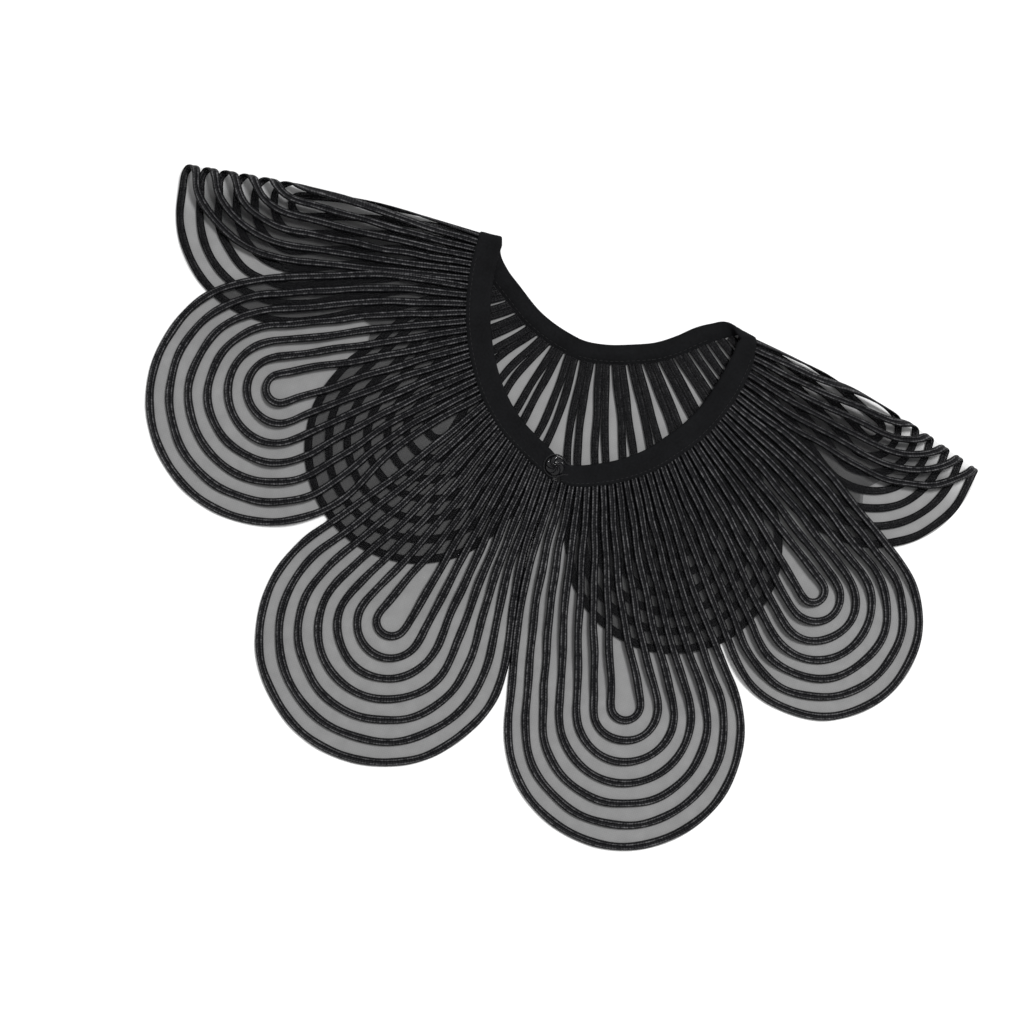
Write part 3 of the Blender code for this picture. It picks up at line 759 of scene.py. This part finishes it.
def makeNeckband(material):
    outermost = min(reach for reach, _ in band["section"])
    rings, runs = [], []
    for spec in bandHalves:
        points, inward, run = bandHalf(*spec)
        short = np.clip(band["roundEnd"] - run, 0, None) * (spec[0] == "right")
        cut = band["roundEnd"] - np.sqrt(band["roundEnd"] ** 2 - short ** 2) + outermost
        ring = np.stack([bandPoint(spec[0], points, inward, np.maximum(reach, cut), level)
                         for reach, level in band["section"]], 1)
        rings.append(ring)
        runs.append(run)
    left, right = rings[0], rings[1][::-1]
    joint = (left[-1] + right[0]) / 2
    chain = np.concatenate([left[:-1], joint[None], right[1:]])
    run = np.concatenate([runs[0], runs[0][-1] + runs[1][-1] - runs[1][::-1][1:]])
    outline = np.array(band["section"])
    outline[:, 1] *= band["uvThick"]
    around = runOf(np.vstack([outline, outline[:1]]))
    uvs = tubeUvs(run, around)
    uvs += [(run[j] + thick, along) for j in (0, -1) for (_, thick), along in zip(outline, around)]
    faces = tubeFaces(0, len(chain), len(outline))
    return addTube("neckband_strip", chain.reshape(-1, 3), faces, material, uvs)


def tubeAlong(path, radius, sides, verts, faces):
    way = unit(np.gradient(path, axis=0))
    flat = np.cross(way, np.array([0.0, 0.0, 1.0]))
    flat /= np.maximum(np.linalg.norm(flat, axis=1), 1e-6)[:, None]
    high = np.cross(flat, way)
    angle = 2 * math.pi * np.arange(sides) / sides
    radius = np.broadcast_to(radius, len(path))
    ring = path[:, None, :] + radius[:, None, None] * (
        flat[:, None, :] * np.cos(angle)[None, :, None]
        + high[:, None, :] * np.sin(angle)[None, :, None])
    faces += tubeFaces(len(verts), len(path), sides)
    verts += ring.reshape(-1, 3).tolist()


def makeStitches(material):
    verts, faces = [], []
    arch, taper = np.array(stitches["arch"]), np.array(stitches["taper"])
    uneven = stitches["pitchChange"]
    for spec in bandHalves:
        points, inward, run = bandHalf(*spec)
        count = int(run[-1] / stitches["pitch"])
        for i in range(1, count):
            middle = i * stitches["pitch"] + random.uniform(-uneven, uneven)
            at = middle + np.linspace(-0.5, 0.5, len(arch)) * stitches["length"]
            p = np.column_stack([np.interp(at, run, points[:, c]) for c in (0, 1)])
            q = np.column_stack([np.interp(at, run, inward[:, c]) for c in (0, 1)])
            if np.abs(p[:, 1]).min() < stitches["cornerFree"]:
                continue
            if p[0, 1] > 0:
                level = stitches["frontLevel"] + arch / (collar["wall"] + band["front"])
            else:
                level = stitches["backLevel"] - arch / collar["wall"]
            tubeAlong(bandPoint(spec[0], p, q, stitches["inset"], level),
                      stitches["radius"] * taper, stitches["sides"], verts, faces)
    return addTube("neckband_stitches", verts, faces, material)


def makeButton(material):
    radius, height = button["radius"] * 0.001, button["height"] * 0.001
    low, tuck = button["low"], button["tuck"]
    centre = toMetres(np.array([[*button["centre"], 0.0]]))[0]
    floor = float(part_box("button")[0][2])
    bpy.ops.mesh.primitive_uv_sphere_add(segments=button["segments"], ring_count=button["rings"],
                                         radius=radius, location=(0, 0, 0))
    item = bpy.context.object
    item.name = "swirl_button"
    bpy.ops.object.mode_set(mode="EDIT")
    bpy.ops.mesh.select_all(action="SELECT")
    bpy.ops.mesh.bisect(plane_co=(0, 0, low * radius), plane_no=(0, 0, 1), clear_inner=True,
                        use_fill=True)
    bpy.ops.object.mode_set(mode="OBJECT")
    co = coordsOf(item.data) / radius
    r = np.hypot(co[:, 0], co[:, 1])
    angle = np.arctan2(co[:, 1], co[:, 0])
    z = np.where(co[:, 2] > 0, co[:, 2], co[:, 2] * tuck)
    z = (z - low * tuck) / (1 - low * tuck) * height
    wave = np.sin(button["swirls"] * angle + button["swirlTurn"] * math.pi * r)
    mask = np.clip((1 - r) / button["plainRim"], 0, 1) * np.clip(r / button["plainMiddle"], 0, 1)
    mask = mask * (co[:, 2] > button["plainBelow"])
    z += button["swirlDepth"] * 0.001 * (wave - 1) * 0.5 * mask
    co = np.column_stack([co[:, :2] * radius, z]) + np.array([*centre[:2], floor])
    item.data.vertices.foreach_set("co", co.ravel())
    item.data.materials.append(material)
    item.data.shade_smooth()
    item.select_set(False)
    return item


def makeButtonLoop(material):
    radius = buttonLoop["thread"] / 2
    ring = button["radius"] + buttonLoop["room"] + radius
    turns = np.radians(np.linspace(buttonLoop["open"], 360 - buttonLoop["open"],
                                   buttonLoop["turnPoints"]) + buttonLoop["lean"])
    path = [(button["centre"][0] + ring * math.cos(t), button["centre"][1] + ring * math.sin(t))
            for t in turns]
    first, last = buttonLoop["feet"]
    path = smoothPath([first] + path + [last], pathPoints["loop"])
    level = float(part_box("button_loop")[0][2]) * 1000 + radius
    run = np.linspace(0, lengthOf(path), len(path))
    foot = np.clip(1 - np.minimum(run, run[-1] - run) / buttonLoop["sinkRun"], 0, 1)
    path = np.column_stack([path, level - buttonLoop["sink"] * foot])
    way = unit(np.gradient(path, axis=0))
    flat = np.column_stack([way[:, 1], -way[:, 0], np.zeros(len(way))])
    verts, faces = [], []
    for ply in (0, math.pi):
        turn = ply + 2 * math.pi * run / buttonLoop["twist"]
        strand = path + buttonLoop["plyOff"] * radius * (
            flat * np.cos(turn)[:, None] + np.array([0, 0, 1]) * np.sin(turn)[:, None])
        tubeAlong(strand, radius * buttonLoop["plyRadius"], buttonLoop["sides"], verts, faces)
    return addTube("thread_loop", verts, faces, material)


# Materials

class Nodes:
    def __init__(self, name):
        self.material = bpy.data.materials.new(name)
        self.material.use_nodes = True
        self.tree = self.material.node_tree
        self.shader = self.tree.nodes["Principled BSDF"]

    def add(self, kind, **values):
        node = self.tree.nodes.new(kind)
        for key, value in values.items():
            if hasattr(node, key):
                setattr(node, key, value)
            else:
                node.inputs[key.replace("_", " ")].default_value = value
        return node

    def link(self, out, into):
        self.tree.links.new(out, into)

    def math(self, operation, one, two=None):
        node = self.add("ShaderNodeMath", operation=operation)
        for socket, value in zip(node.inputs, (one, two)):
            if value is None:
                continue
            if isinstance(value, (int, float)):
                socket.default_value = value
            else:
                self.link(value, socket)
        return node.outputs[0]

    def plus(self, one, two):
        return self.math("ADD", one, two)

    def times(self, one, two):
        return self.math("MULTIPLY", one, two)

    def uv(self):
        made = self.add("ShaderNodeSeparateXYZ")
        self.link(self.add("ShaderNodeUVMap", uv_map="UVMap").outputs[0], made.inputs[0])
        return made.outputs[0], made.outputs[1]

    def colour(self, value, colours, start=0.0, end=1.0):
        node = self.add("ShaderNodeValToRGB")
        for element, colour, position in zip(node.color_ramp.elements, colours, (start, end)):
            element.color = (*colour, 1)
            element.position = position
        self.link(value, node.inputs[0])
        self.link(node.outputs[0], self.shader.inputs["Base Color"])

    def noise(self, scale, detail=2.0):
        node = self.add("ShaderNodeTexNoise", Scale=scale, Detail=detail)
        self.link(self.add("ShaderNodeTexCoord").outputs["Object"], node.inputs["Vector"])
        return node.outputs[0]

    def bump(self, height, strength, distance):
        node = self.add("ShaderNodeBump", Strength=strength, Distance=distance)
        self.link(height, node.inputs["Height"])
        self.link(node.outputs[0], self.shader.inputs["Normal"])

    def set(self, **values):
        for key, value in values.items():
            self.shader.inputs[key.replace("_", " ")].default_value = value


def organzaMaterial():
    m = Nodes("sheer organza")
    u, v = m.uv()
    pitch = 2 * math.pi / organza["threadPitch"]
    grain = m.plus(m.math("SINE", m.times(u, pitch)), m.math("SINE", m.times(v, pitch)))
    cloudy = m.noise(160.0, 3.0)
    fine = m.noise(1700.0)
    # the two noises add 0.085 on average
    opacity = m.plus(1 - organza["through"] - 0.085,
                     m.plus(m.times(cloudy, 0.08), m.times(fine, 0.09)))
    opacity = m.plus(opacity, m.times(grain, 0.012))
    # painted light: the cloth is made clearer beside the folds, so the cells there look lit
    # brighter
    paintedLightShare = m.add("ShaderNodeAttribute", attribute_name="paintedLoftLight").outputs["Fac"]
    opacity = m.times(opacity, m.math("SUBTRACT", 1.0, m.times(paintedLightShare, organza["paintedLoftLight"])))
    m.link(opacity, m.shader.inputs["Alpha"])
    m.colour(fine, organza["colours"])
    m.set(Roughness=0.6, Specular_IOR_Level=0.08)
    m.bump(m.plus(fine, m.times(grain, 0.2)), 0.25, 0.0002)
    return m.material


def braidMaterial():
    m = Nodes("flat braid")
    u, v = m.uv()
    across = m.math("ABSOLUTE", v)
    phase = m.plus(m.times(u, 2 * math.pi / braid["stitch"]), m.times(across, 2.2))
    phase = m.plus(phase, m.times(m.noise(260.0), 5.0))
    threads = m.math("SINE", phase)
    # painted highlight along the crest of each ridge, broken by the threads
    ridge = m.math("POWER", m.math("SINE", m.times(across, math.pi)), 5.0)
    breaks = m.plus(m.times(m.noise(420.0), 2.4), -0.55)
    paintedHighlight = m.times(m.times(m.plus(m.times(threads, 0.2), 0.8), ridge), breaks)
    grain = m.noise(1400.0)
    patchy = m.noise(60.0)
    mixed = m.times(m.plus(m.times(paintedHighlight, 0.75), m.times(grain, 0.3)),
                    m.plus(0.55, m.times(patchy, 0.9)))
    # painted highlight mixed with the braid's own grain and patchy tone
    m.colour(mixed, braid["colours"], 0.3, 1.0)
    m.set(Roughness=0.5, Specular_IOR_Level=0.16)
    m.bump(m.plus(m.times(threads, 0.3), grain), 0.6, 0.00035)
    return m.material


def bandMaterial():
    m = Nodes("bias strip")
    u, v = m.uv()
    pitch = 2 * math.pi / band["weavePitch"]
    weave = m.times(m.math("SINE", m.times(m.plus(u, v), pitch)),
                    m.math("SINE", m.times(m.math("SUBTRACT", u, v), pitch)))
    grain = m.noise(900.0, 3.0)
    soft = m.noise(90.0)
    mixed = m.plus(m.times(weave, 0.18), m.plus(m.times(grain, 0.5), m.times(soft, 0.4)))
    m.colour(mixed, band["colours"], 0.2, 0.8)
    m.set(Roughness=0.85, Specular_IOR_Level=0.1)
    m.bump(mixed, 0.5, 0.0003)
    return m.material


def threadMaterial(name, colours):
    m = Nodes(name)
    grain = m.noise(2200.0)
    m.colour(grain, colours, 0.3, 0.75)
    m.set(Roughness=0.55, Specular_IOR_Level=0.2)
    m.bump(grain, 0.4, 0.0001)
    return m.material


def buttonMaterial():
    m = Nodes("polished button")
    m.colour(m.noise(350.0), button["colours"])
    m.link(m.plus(0.06, m.times(m.noise(900.0), 0.08)), m.shader.inputs["Roughness"])
    m.set(Specular_IOR_Level=0.5)
    return m.material


def floorMaterial():
    m = Nodes("pale floor")
    m.colour(m.noise(3.0), studio["floorColours"])
    m.set(Roughness=0.9, Specular_IOR_Level=0.1)
    return m.material


# The pieces

cloth, cutArea = makeOrganza(organzaMaterial())
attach(cloth, "root")
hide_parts("organza_ground")
print("organza made, cut area", round(cutArea, 5))

braidFinish = braidMaterial()
for petalName in petalOrder:
    piece = makeBraid(petalName, braidFinish)
    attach(piece, "root")

strip = makeNeckband(bandMaterial())
sewing = makeStitches(threadMaterial("sewing thread", stitches["colours"]))
dome = makeButton(buttonMaterial())
threadLoop = makeButtonLoop(threadMaterial("loop thread", buttonLoop["colours"]))
for piece, node in ((strip, "neckband"), (sewing, "neckband"), (dome, "button"),
                    (threadLoop, "button_loop")):
    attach(piece, "root")
for piece, node in ((strip, "neckband"), (dome, "button"), (threadLoop, "button_loop")):
    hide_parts(node)
print("neckband, stitches, button and loop made")


# Floor, light and camera

bpy.ops.mesh.primitive_plane_add(size=studio["floorSize"], location=(0, 0, 0))
ground = bpy.context.object
ground.name = "floor"
ground.data.materials.append(floorMaterial())
ground.select_set(False)

world = bpy.data.worlds.new("studio")
bpy.context.scene.world = world
world.use_nodes = True
background = world.node_tree.nodes["Background"]
background.inputs["Color"].default_value = (1, 1, 1, 1)
background.inputs["Strength"].default_value = studio["world"]

lamp = bpy.data.lights.new("softbox", "AREA")
lamp.shape = "SQUARE"
lamp.size = studio["lampSize"]
lamp.energy = studio["softbox"]
softbox = bpy.data.objects.new("softbox", lamp)
bpy.context.scene.collection.objects.link(softbox)
softbox.location = studio["lamp"]
softbox.rotation_euler = (
    -math.atan2(studio["lamp"][1], studio["lamp"][2]),
    math.atan2(studio["lamp"][0], math.hypot(*studio["lamp"][1:])), 0.0)

view = bpy.data.cameras.new("camera")
view.type = "PERSP"
view.lens = studio["lens"]
view.sensor_width = studio["sensor"]
camera = bpy.data.objects.new("camera", view)
bpy.context.scene.collection.objects.link(camera)
aim = toMetres(np.array([[*studio["imageCentre"], 0.0]]))[0]
distance = studio["imageWidth"] * 0.001 * studio["lens"] / studio["sensor"]
camera.location = (aim[0], aim[1], studio["aimHeight"] + distance)
camera.rotation_euler = (0.0, 0.0, math.radians(studio["turn"]))
bpy.context.scene.camera = camera
bpy.context.scene.view_settings.view_transform = "Standard"
print("studio made")
